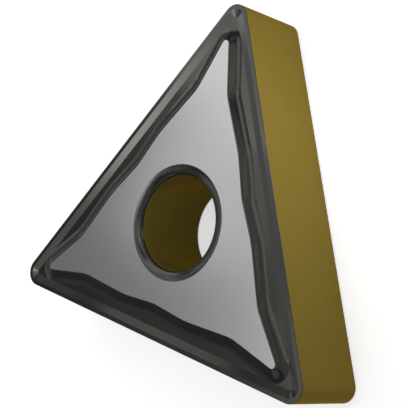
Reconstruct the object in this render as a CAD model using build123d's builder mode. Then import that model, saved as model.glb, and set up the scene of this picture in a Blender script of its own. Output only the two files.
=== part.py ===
from build123d import *
import os
from math import cos, radians, sin, tan

# Double-sided triangular indexable cutting insert, pressed and sintered in cemented carbide.
# Millimetres, +Z up along the bore.  The origin is the centre of the bore, half-way between
# the two seats.  One corner points along +Y, and the flank opposite it faces -Y.

os.makedirs("parts", exist_ok=True)

# ---- Body
inscribed_circle = 12.70     # the size by which such inserts are ordered
seat_to_edge = 4.76          # from one seat to the cutting edges of the other side
nose_radius = 0.80
edge_hone = 0.03             # rounding of the cutting edges

# ---- Chip breaker, measured inwards from the cutting edges
land_width = 0.25            # flat land behind the edge
rake_width = 0.41            # sloped facet behind the land
floor_depth = 0.08           # floor of the breaker below the edges

# ---- Crown: the raised seat in the middle of each face, with a wavy outline
crown_height = 0.17          # seat above the cutting edges
centre_inset = 1.894         # from the edge to the outline, at the middle of a side
bulge_inset = 1.695          # the same where the outline swells, on both sides of the middle
bulge_station = 2.34         # from the middle of a side to such a swelling
notch_inset = 1.881          # the same at the notches near the corners
notch_from_corner = 5.39     # along the side, from the triangle's sharp corner to a notch
tip_setback = 1.54           # from the nose to the sharp tip of the outline
tip_radius = 0.20
bulge_radius = 6.0
notch_radius = 2.5

# ---- Flank of the crown: a hollow cove, then a rounded rim that the ground seat cuts off
cove_width = 0.533
cove_foot_angle = 4.0        # slope where the cove leaves the floor
cove_angle = 33.0            # slope where the cove meets the rim
rim_width = 0.187
rim_end_angle = 8.0          # slope left at the seat

# ---- Bore
bore_radius = 2.58
sink_radius = 3.12           # shallow countersink at each seat
sink_slope = 8.0
sink_blend = 0.15            # rounding between the countersink and the bore

# ---- Levels and lengths that follow
top_z = (seat_to_edge + crown_height) / 2
edge_z = top_z - crown_height
floor_z = edge_z - floor_depth
inradius = inscribed_circle / 2
half_side = inscribed_circle * cos(radians(30))
mouth_z = top_z - (sink_radius - bore_radius) * tan(radians(sink_slope))
notch_station = half_side - notch_from_corner
tip_reach = inscribed_circle - nose_radius - tip_setback


def rounded_triangle(inset):
    """Draw the outline of the insert, moved inwards."""
    corners = [(inscribed_circle - 2 * inset, 90 + 120 * k) for k in range(3)]
    with BuildLine() as sides:
        Polyline([(r * cos(radians(a)), r * sin(radians(a))) for r, a in corners], close=True)
    triangle = make_face(sides.edges())
    fillet(triangle.vertices(), nose_radius - inset)


def crown_points():
    """List the corners of the crown's outline, each with the radius that rounds it."""
    points = []
    for turn in (0, 120, 240):
        side = [
            (-notch_station, notch_inset, notch_radius),
            (-bulge_station, bulge_inset, bulge_radius),
            (0, centre_inset, notch_radius),
            (bulge_station, bulge_inset, bulge_radius),
            (notch_station, notch_inset, notch_radius),
        ]
        for along, inset, radius in side:
            points.append((Vector(along, inset - inradius).rotate(Axis.Z, turn), radius))
        points.append((Vector(tip_reach, 0).rotate(Axis.Z, turn - 30), tip_radius))
    return points


# The crown's outline at the seat, drawn once and offset for every level of its flank.
with BuildSketch() as crown_outline:
    with BuildLine():
        Polyline([point for point, radius in crown_points()], close=True)
    make_face()
    for point, radius in crown_points():
        fillet(crown_outline.vertices().sort_by_distance(point)[0], radius)

# Levels of the cove, from its foot to the rim: how far outside the outline, and how high.
cove_radius = cove_width / (sin(radians(cove_angle)) - sin(radians(cove_foot_angle)))
cove_levels = []
for step in range(4):
    slope = cove_foot_angle + (cove_angle - cove_foot_angle) * step / 3
    out = rim_width + cove_radius * (sin(radians(cove_angle)) - sin(radians(slope)))
    up = cove_radius * (cos(radians(cove_foot_angle)) - cos(radians(slope)))
    cove_levels.append((out, floor_z + up))

# The rim curves on from the cove's slope to the slope left at the seat.
cove_top = cove_levels[-1][1]
rim_levels = []
for slope in (cove_angle, (cove_angle + rim_end_angle) / 2, rim_end_angle):
    across = sin(radians(slope)) - sin(radians(rim_end_angle))
    across /= sin(radians(cove_angle)) - sin(radians(rim_end_angle))
    risen = cos(radians(slope)) - cos(radians(cove_angle))
    risen /= cos(radians(rim_end_angle)) - cos(radians(cove_angle))
    rim_levels.append((rim_width * across, cove_top + (top_z - cove_top) * risen))

# The crown stands on the floor of the breaker and carries the seat.
with BuildPart() as crown:
    with BuildSketch(Plane.XY.offset(floor_z)):
        add(crown_outline.sketch)
        offset(amount=cove_levels[0][0])
    extrude(amount=-floor_z / 2)
    for levels in (cove_levels, rim_levels):
        for out, level in levels:
            with BuildSketch(Plane.XY.offset(level)):
                add(crown_outline.sketch)
                if out > 0:
                    offset(amount=out)
        loft()

# The upper half of the insert, from the middle plane to the seat.
with BuildPart() as half:
    with BuildSketch():
        rounded_triangle(0)
    extrude(amount=edge_z)
    fillet(half.edges().group_by(Axis.Z)[-1], edge_hone)
    # The breaker's basin: a sloped facet all round, down to a flat floor.
    with BuildSketch(Plane.XY.offset(edge_z)):
        rounded_triangle(land_width)
    with BuildSketch(Plane.XY.offset(floor_z)):
        rounded_triangle(land_width + rake_width)
    loft(ruled=True, mode=Mode.SUBTRACT)
    add(crown.part)
    with Locations((0, 0, top_z)):
        CounterSinkHole(bore_radius, sink_radius, counter_sink_angle=180 - 2 * sink_slope)
    mouth = half.edges().filter_by(GeomType.CIRCLE).sort_by_distance((0, 0, mouth_z))[0]
    fillet(mouth, sink_blend)

# The lower half is the same, turned over about the middle plane.
with BuildPart() as insert:
    add(half.part)
    mirror(about=Plane.XY)

insert.part.label = "insert"
export_step(insert.part, "parts/insert.step")

wall_length = 2 * (mouth_z - sink_blend * tan(radians(45 - sink_slope / 2)))
print("thickness over the seats", round(2 * top_z, 3), "straight wall of the bore", round(wall_length, 4))
print("volume", round(insert.part.volume, 2), "faces", len(insert.part.faces()))
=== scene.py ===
# %% [markdown]
# # A triangular carbide turning insert
# A carbide insert is a small replaceable cutting tip. It is pressed from hard metal powder, sintered,
# coated, and ground flat on its two faces. It clamps in a tool holder through the hole in its middle,
# and when one of its corners is worn it is turned to the next. This file takes the finished solid from
# the CAD model and gives it its three skins: the black coat on the chip side, the gold coat on the
# flanks and in the bore, and the bare ground metal of the seats.

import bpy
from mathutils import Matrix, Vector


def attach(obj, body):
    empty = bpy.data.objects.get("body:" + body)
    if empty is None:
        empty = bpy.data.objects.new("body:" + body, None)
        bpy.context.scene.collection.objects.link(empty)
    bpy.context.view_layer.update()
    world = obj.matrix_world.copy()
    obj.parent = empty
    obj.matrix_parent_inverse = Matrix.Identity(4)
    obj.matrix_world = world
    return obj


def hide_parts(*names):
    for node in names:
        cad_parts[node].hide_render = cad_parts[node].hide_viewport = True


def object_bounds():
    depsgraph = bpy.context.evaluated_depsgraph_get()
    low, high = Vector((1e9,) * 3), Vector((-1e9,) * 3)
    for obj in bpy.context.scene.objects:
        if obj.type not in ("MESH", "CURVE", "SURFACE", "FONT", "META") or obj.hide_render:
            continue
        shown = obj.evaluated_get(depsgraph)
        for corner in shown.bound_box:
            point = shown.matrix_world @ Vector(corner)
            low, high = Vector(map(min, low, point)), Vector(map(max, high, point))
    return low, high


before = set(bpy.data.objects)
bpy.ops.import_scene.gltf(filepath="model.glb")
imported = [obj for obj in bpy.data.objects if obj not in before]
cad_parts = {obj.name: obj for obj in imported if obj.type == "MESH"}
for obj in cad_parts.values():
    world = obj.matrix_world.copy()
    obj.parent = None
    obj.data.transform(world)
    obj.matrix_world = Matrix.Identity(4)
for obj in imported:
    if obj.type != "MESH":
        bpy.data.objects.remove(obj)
insert_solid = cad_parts["insert"]
solid_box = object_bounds()
print("solid, in mm:", [[round(1000 * c, 3) for c in corner] for corner in solid_box])

# %% [markdown]
# ## Lengths
# Blender works in metres and a toolmaker in millimetres, so every length below is written in mm and
# scaled once. Only a few of the insert's own lengths are needed, to tell where the three skins begin
# and end and where the countersink lies. The countersink is a shallow cone that rounds over into the
# bore, so the circle where the cone ends follows from the bore, the rounding and the slope.

# %% Name the lengths
import math

import bpy
from mathutils import Vector

MM = 0.001
seat_height = solid_box[1].z
bore_radius = 2.58 * MM
sink_slope = math.radians(8)
sink_radius = 3.12 * MM
sink_blend = 0.15 * MM
sink_foot = bore_radius + sink_blend * (1 - math.sin(sink_slope))
print("thickness", round(2 * seat_height / MM, 3), "mm")
print("the cone of the countersink ends at radius", round(sink_foot / MM, 3), "mm")

# %% [markdown]
# ## One skin to work on
# The CAD model arrives as loose triangles, each with its own three points, so light breaks at every
# facet. On the real insert the coat runs smoothly round the corners and through the coves. A copy of
# the solid is welded into one skin, and this copy is what is seen. Points are only joined where they
# already meet, so the skin keeps the size of the solid.

# %% Weld a copy of the solid
bpy.ops.object.select_all(action="DESELECT")
skin_mesh = insert_solid.data.copy()
skin_mesh.name = "insert_skin"
insert_skin = bpy.data.objects.new("insert_skin", skin_mesh)
bpy.context.collection.objects.link(insert_skin)
bpy.context.view_layer.objects.active = insert_skin
insert_skin.select_set(True)
bpy.ops.object.mode_set(mode="EDIT")
bpy.ops.mesh.select_all(action="SELECT")
weld_distance = 0.0002 * MM
bpy.ops.mesh.remove_doubles(threshold=weld_distance)
bpy.ops.mesh.select_all(action="DESELECT")
bpy.ops.object.mode_set(mode="OBJECT")
print("skin:", len(skin_mesh.vertices), "points,", len(skin_mesh.polygons), "faces")

# %% [markdown]
# ## Crisp and soft edges
# Pressed and ground shapes have two sorts of edge. Where a level face breaks into a slope, the die was
# cut crisp, and light should stop there like a drawn line. Everywhere else the shape was blended, or
# the cutting edge was honed round. So an edge is marked sharp where a level face meets a gentle slope,
# or where two gentle slopes meet at a clear bend. The rest are smooth, and weighting by area lets each
# broad face keep its own flatness up to the narrow hone.

# %% Mark the crisp edges and smooth the rest
gentle = 0.93  # a face whose normal has at least this much height slopes less than about 22 degrees
level = 0.9999
least_bend_at_level = 2.0  # degrees
least_bend_elsewhere = 14.0
beside = {}
for face in skin_mesh.polygons:
    for key in face.edge_keys:
        beside.setdefault(key, []).append(face.normal)


def is_crisp(edge):
    """True for an edge that was cut crisp: on top or underneath, not on the hone, and bent."""
    one, other = beside[edge.key]
    if min(abs(one.z), abs(other.z)) < gentle or one.z * other.z < 0:
        return False
    beside_level = max(abs(one.z), abs(other.z)) > level
    return math.degrees(one.angle(other)) > (least_bend_at_level if beside_level else least_bend_elsewhere)


for edge in skin_mesh.edges:
    edge.use_edge_sharp = is_crisp(edge)
bpy.ops.object.shade_smooth(keep_sharp_edges=True)
weighting = insert_skin.modifiers.new("flatness", "WEIGHTED_NORMAL")
weighting.keep_sharp = True
bpy.ops.object.modifier_apply(modifier=weighting.name)
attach(insert_skin, "root")
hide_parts("insert")
print("crisp edges:", sum(edge.use_edge_sharp for edge in skin_mesh.edges), "of", len(skin_mesh.edges))

# %% [markdown]
# ## An even countersink
# The countersink is round, so it shines alike all the way round. The triangles that meet at its rims
# differ from place to place, and their averages differ too, which would show as a small wedge of
# light. So the normals on its two circles are worked out from the circle itself. The outer one leans
# as the cone does. The inner one is given a further lean than the cone really has there, as a softer
# turn into the bore, and that is a choice of look. Only the shading changes here: no point moves.

# %% Even out the countersink
foot_tilt = math.radians(19)
same_place = 0.003 * MM
flat_seat = 0.9995


def leaning(point, tilt):
    """The direction that leans from the vertical towards the bore's axis."""
    inwards = -point.xy.normalized() * math.sin(tilt)
    return Vector((inwards.x, inwards.y, math.copysign(math.cos(tilt), point.z)))


normals = [corner.vector.copy() for corner in skin_mesh.corner_normals]
evened = 0
for face in skin_mesh.polygons:
    if abs(face.normal.z) > flat_seat:
        continue
    for corner in face.loop_indices:
        point = skin_mesh.vertices[skin_mesh.loops[corner].vertex_index].co
        for circle, tilt in ((sink_foot, foot_tilt), (sink_radius, sink_slope)):
            if abs(point.xy.length - circle) < same_place:
                normals[corner] = leaning(point, tilt)
                evened += 1
skin_mesh.normals_split_custom_set(normals)
print("corners evened round the countersinks:", evened)

# %% [markdown]
# ## Sums on sockets
# A procedural finish is mostly arithmetic: how much a grain or a cloud counts, and round what middle
# value. Wrapping a socket in a small class lets that be written as plain sums, and each sum adds its
# Math node.


# %% A socket that can be reckoned with
class Amount:
    def __init__(self, finish, socket):
        self.finish = finish
        self.socket = socket

    def _with(self, operation, other):
        return self.finish.node("ShaderNodeMath", {"operation": operation}, {0: self, 1: other})

    def __add__(self, other):
        return self._with("ADD", other)

    def __sub__(self, other):
        return self._with("SUBTRACT", other)

    def __mul__(self, other):
        return self._with("MULTIPLY", other)

    def node_range(self, low, high, to_low, to_high):
        """This amount, mapped so that low gives to_low and high gives to_high, and no further."""
        return self.finish.node(
            "ShaderNodeMapRange",
            {"clamp": True, "interpolation_type": "SMOOTHSTEP"},
            {"Value": self, "From Min": low, "From Max": high, "To Min": to_low, "To Max": to_high},
        )


# %% [markdown]
# A finish is a material with a Principled shader already in it. One method adds every node: its type,
# its settings, then its inputs, each of which is a number or another amount.


# %% A finish and its one way to add a node
class Finish:
    def __init__(self, name):
        self.material = bpy.data.materials.new(name)
        self.material.use_nodes = True
        self.tree = self.material.node_tree
        self.shader = self.tree.nodes["Principled BSDF"]
        self.count = 0

    def node(self, kind, settings, inputs, output=0):
        made = self.tree.nodes.new(kind)
        row, column = divmod(self.count, 8)
        made.location = (-300 - 220 * column, -200 * row)
        self.count += 1
        for name, value in settings.items():
            setattr(made, name, value)
        for name, value in inputs.items():
            self.feed(made.inputs[name], value)
        return Amount(self, made.outputs[output])

    def feed(self, socket, value):
        if isinstance(value, Amount):
            self.tree.links.new(value.socket, socket)
        else:
            socket.default_value = value

    def place(self):
        """The point being shaded, in metres, in the frame of the insert."""
        return self.node("ShaderNodeTexCoord", {}, {}, output="Object")

    def stretched(self, point, scale, turn=0.0):
        """The point, turned about the bore and scaled along each axis, to draw a pattern out into lines."""
        return self.node("ShaderNodeMapping", {}, {"Vector": point, "Rotation": (0, 0, turn), "Scale": scale})

    def noise(self, point, per_mm, detail):
        """An uneven pattern from 0 to 1, with this many swells to the millimetre."""
        return self.node("ShaderNodeTexNoise", {}, {"Vector": point, "Scale": per_mm / MM, "Detail": detail})

    def tint(self, factor, dark, light):
        """A colour between two, by the factor. This node keeps its colours in inputs 6 and 7."""
        return self.node(
            "ShaderNodeMix",
            {"data_type": "RGBA"},
            {0: factor, 6: (*dark, 1.0), 7: (*light, 1.0)},
            output=2,
        )

    def bump(self, height, distance):
        """Normals tipped as if the height stood this far out of the surface."""
        return self.node("ShaderNodeBump", {}, {"Height": height, "Distance": distance, "Strength": 1.0})

    def shade(self, **inputs):
        """Set the shader's own inputs and return the finished material."""
        for name, value in inputs.items():
            self.feed(self.shader.inputs[name.replace("_", " ")], value)
        print(self.material.name, "has", self.count, "nodes")
        return self.material


# %% [markdown]
# ## The black coat
# The chip side is coated with a fine-grained ceramic, near black with a slight olive cast, and then
# polished so that chips slide over it. Under light it is glossy but not a mirror. A fine grain breaks
# up a highlight, and slow clouds in the colour and the gloss come from the polishing. Both stay faint.

# %% Mix the black coat
black = Finish("black_ceramic_coat")
spot = black.place()
grain = black.noise(spot, per_mm=22, detail=3.0)
cloud = black.noise(spot, per_mm=0.45, detail=2.0)
black_coat = black.shade(
    Base_Color=black.tint(cloud, (0.0118, 0.0120, 0.0102), (0.0148, 0.0151, 0.0129)),
    Roughness=cloud.node_range(low=0.25, high=0.75, to_low=0.13, to_high=0.15) + (grain - 0.5) * 0.01,
    Specular_Tint=(0.99, 1.0, 0.92, 1.0),
    IOR=1.54,
)

# %% [markdown]
# ## The gold coat
# Under the black lies a gold-coloured nitride. On the flanks and in the bore the black is brushed away
# and the gold shows. The real film is metal-like. Here it is written mostly as a scattering colour
# with a small metallic share, which gives a soft satin in a studio with a white table but reflects
# less than the real film would. For a shinier gold, raise Metallic and Specular IOR Level. The die
# that pressed the blank slid along the flank, and left very fine lines from face to face.

# %% Mix the gold coat
gold = Finish("gold_nitride_coat")
spot = gold.place()
draw_lines = gold.noise(gold.stretched(spot, (1, 1, 0.04)), per_mm=14, detail=2.0)
grain = gold.noise(spot, per_mm=30, detail=2.0)
cloud = gold.noise(spot, per_mm=0.35, detail=2.0)
gold_coat = gold.shade(
    Base_Color=gold.tint(cloud, (0.192, 0.139, 0.028), (0.214, 0.155, 0.034)),
    Metallic=0.15,
    Specular_IOR_Level=0.0,
    Specular_Tint=(1.0, 0.74, 0.14, 1.0),
    Roughness=cloud.node_range(low=0.25, high=0.75, to_low=0.24, to_high=0.27) + (grain - 0.5) * 0.03,
    Normal=gold.bump(draw_lines, distance=0.0004 * MM),
)

# %% [markdown]
# ## The ground seats
# The two faces that clamp in the holder are ground flat after coating, so they are bare metal: a
# plain grey with very fine, straight grinding lines. From line to line only the roughness changes, and
# very slightly, so they hardly show.

# %% Mix the ground metal
ground = Finish("ground_metal")
spot = ground.place()
along_the_wheel = ground.stretched(spot, (0.03, 1, 1), turn=math.radians(20))
wheel_lines = ground.noise(along_the_wheel, per_mm=6, detail=1.0)
cloud = ground.noise(spot, per_mm=0.3, detail=2.0)
ground_metal = ground.shade(
    Base_Color=ground.tint(cloud, (0.335, 0.335, 0.338), (0.355, 0.355, 0.358)),
    Metallic=1.0,
    Roughness=(wheel_lines - 0.5) * 0.02 + 0.255,
)

# %% [markdown]
# ## Each face gets its skin
# The wheel grinds only what stands highest, so the seats are the level faces at full height. The black
# is cleared only from upright walls: the flanks and the bore. All that slopes keeps its black coat.
# The finish that came with the CAD model is taken off, so that the black coat comes first.

# %% Share the faces out
for finish in (black_coat, gold_coat, ground_metal):
    skin_mesh.materials.append(finish)
while skin_mesh.materials[0] != black_coat:
    skin_mesh.materials.pop(index=0)
BLACK, GOLD, GROUND = 0, 1, 2
upright_wall = 0.2
seat_margin = 0.001 * MM
bore_margin = 0.004 * MM
flank_begins = 6.0 * MM
shares = [0, 0, 0]
for face in skin_mesh.polygons:
    reach = face.center.xy.length
    on_seat = abs(face.normal.z) > flat_seat and abs(face.center.z) > seat_height - seat_margin
    on_wall = reach > flank_begins or reach < bore_radius + bore_margin
    if on_seat:
        face.material_index = GROUND
    elif on_wall and abs(face.normal.z) < upright_wall:
        face.material_index = GOLD
    else:
        face.material_index = BLACK
    shares[face.material_index] += face.area
print("black, gold, ground areas in mm2:", [round(a / MM**2, 1) for a in shares])

# %% [markdown]
# ## The table it lies on
# The insert rests on a plain pale table. The table should look white while the insert on it stays
# dark, so part of its whiteness is a glow of its own. The glow is there only for rays from the camera,
# from a reflection or through something clear, and it lights the insert in no other way. It is low
# enough that the shadow of the insert still shows. The table lies a hair under the seat, because two
# faces at one height would fight over which is seen.

# %% Lay the table
bpy.ops.object.select_all(action="DESELECT")
table_gap = 0.002 * MM
table_height = -seat_height - table_gap
bpy.ops.mesh.primitive_plane_add(size=2.4, location=(0, 0, table_height))
table = bpy.context.object
table.name = "table"
pale = Finish("pale_table")
seen = pale.node("ShaderNodeLightPath", {}, {}, output="Is Camera Ray")
mirrored = pale.node("ShaderNodeLightPath", {}, {}, output="Is Glossy Ray")
through = pale.node("ShaderNodeLightPath", {}, {}, output="Is Transmission Ray")
table.data.materials.append(
    pale.shade(
        Base_Color=(0.80, 0.80, 0.80, 1.0),
        Roughness=0.9,
        Specular_IOR_Level=0.0,
        Emission_Color=pale.tint(seen + mirrored + through, (0.0, 0.0, 0.0), (0.60, 0.60, 0.60)),
        Emission_Strength=1.0,
    )
)
print("table at", round(table_height / MM, 3), "mm")

# %% [markdown]
# ## Light
# Small shiny things are lit by what they reflect, so the lamps are panels with a width and a height,
# not points. What counts is the direction that each stands in, because that decides which slope of
# the insert mirrors it. So a panel is placed by a compass direction and a height in degrees, and its
# width and height are angles too. Its power grows with its area, so that a wider panel is no brighter
# to look at. The sky gives a little light from everywhere.

# %% Give the sky its glow and a way to hang a panel
scene = bpy.context.scene
scene.view_settings.view_transform = "Standard"
world = bpy.data.worlds.new("studio")
scene.world = world
world.use_nodes = True
background = world.node_tree.nodes["Background"]
background.inputs["Color"].default_value = (1.0, 1.0, 1.0, 1.0)
background.inputs["Strength"].default_value = 0.13


def panel(name, azimuth, elevation, width, height, radiance, distance):
    """A panel lamp that faces the insert. Angles are in degrees, and the distance in metres."""
    lamp = bpy.data.lights.new(name, "AREA")
    lamp.shape = "RECTANGLE"
    lamp.size = 2 * distance * math.tan(math.radians(width) / 2)
    lamp.size_y = 2 * distance * math.tan(math.radians(height) / 2)
    lamp.energy = radiance * math.pi * lamp.size * lamp.size_y
    hung = bpy.data.objects.new(name, lamp)
    scene.collection.objects.link(hung)
    a, e = math.radians(azimuth), math.radians(elevation)
    towards = Vector((math.cos(a) * math.cos(e), math.sin(a) * math.cos(e), math.sin(e)))
    hung.location = towards * distance
    hung.rotation_mode = "QUATERNION"
    hung.rotation_quaternion = towards.to_track_quat("Z", "Y")
    hung.visible_camera = False
    print(name, "from", azimuth, "at", elevation, "degrees")


# %% [markdown]
# ### Close panels
# A panel a few centimetres away lights the near corner more than the far one, so a broad face gets a
# soft change of tone along it. The one beside the flank stands closest, just above the table, for the
# long fade down the gold. The others are named for the places that they are meant to lift.

# %% Hang the close panels
CLOSE = 40 * MM
BESIDE_FLANK = 18.5 * MM
panel("flank_panel", 44, 8, 20, 14, 10.8, BESIDE_FLANK)
panel("shoulder_panel", 60, 60, 25, 18, 0.57, CLOSE)
panel("tip_panel", 150, 35, 25, 18, 1.50, CLOSE)
panel("tip_upper_panel", 150, 52, 20, 16, 1.55, CLOSE)
panel("seat_panel", 180, 53, 17, 17, 0.95, CLOSE)

# %% [markdown]
# ### Panels behind the insert
# These stand half a metre off, on the far side from the camera. The camera looks down at about 49
# degrees, so a level face mirrors what stands behind the insert at that same height. A slope that
# leans towards the camera mirrors what is higher, and one that leans away what is lower. A small,
# bright panel can leave mottling on the seats, so the one for the tip of the edge is kept wider and
# weaker than the edge alone would ask for.

# %% Hang the panels behind the insert
FAR = 500 * MM
panel("high_side_panel", 130, 66, 12, 16, 1.24, FAR)
panel("high_back_panel", 160, 74, 9, 12, 1.03, FAR)
panel("back_upper_panel", 168, 62, 7.5, 12, 0.59, FAR)
panel("back_panel", 168, 38, 12.6, 12, 0.51, FAR)
panel("back_middle_panel", 192, 50, 21, 12, 0.225, FAR)
panel("back_low_panel", 180, 18, 70, 20, 0.22, FAR)
panel("far_edge_panel", 190, 30, 30, 10, 0.75, FAR)
panel("edge_tip_panel", 191, 62, 12, 14, 1.5, FAR)
panel("edge_panel", 200, 63, 7, 11, 2.8, FAR)
panel("edge_corner_panel", 209, 59, 8, 12, 0.8, FAR)
panel("corner_panel", 216, 50, 10.3, 12, 0.48, FAR)
panel("corner_low_panel", 216, 38, 12.6, 12, 0.18, FAR)

# %% [markdown]
# ### Fill from the other sides
# From above or from behind, the level faces mirror other parts of the room, and with nothing there
# bare metal looks very dark. Broad panels overhead and round the near side fill that gap. The two
# nearest the camera's own side are weaker, because they shine most on the flank that it sees.

# %% Hang the fill panels
FILL = 600 * MM
panel("overhead_fill", 0, 90, 40, 40, 0.45, FILL)
for azimuth, radiance in ((270, 0.50), (315, 0.45), (0, 0.22), (45, 0.22), (90, 0.45)):
    panel(f"round_fill_{azimuth}", azimuth, 32, 44, 44, radiance, FILL)

# %% [markdown]
# ## Camera
# The insert is small, so the camera stands close, about 60 mm off, and near corners look larger. The
# lens is shifted a little, to frame the insert without turning the camera.

# %% Stand the camera
camera_data = bpy.data.cameras.new("camera")
camera_data.sensor_width = 36.0
camera_data.lens = 98.565
camera_data.shift_x = -0.0003
camera_data.shift_y = -0.03675
camera_data.clip_start = 1 * MM
camera_data.clip_end = 5.0
camera = bpy.data.objects.new("camera", camera_data)
scene.collection.objects.link(camera)
camera.location = Vector((39.4158, 5.4803, 45.9110)) * MM
camera.rotation_euler = [math.radians(turn) for turn in (10.1594, 40.3488, 20.4631)]
scene.camera = camera
print("camera", round(camera.location.length / MM, 1), "mm from the middle")
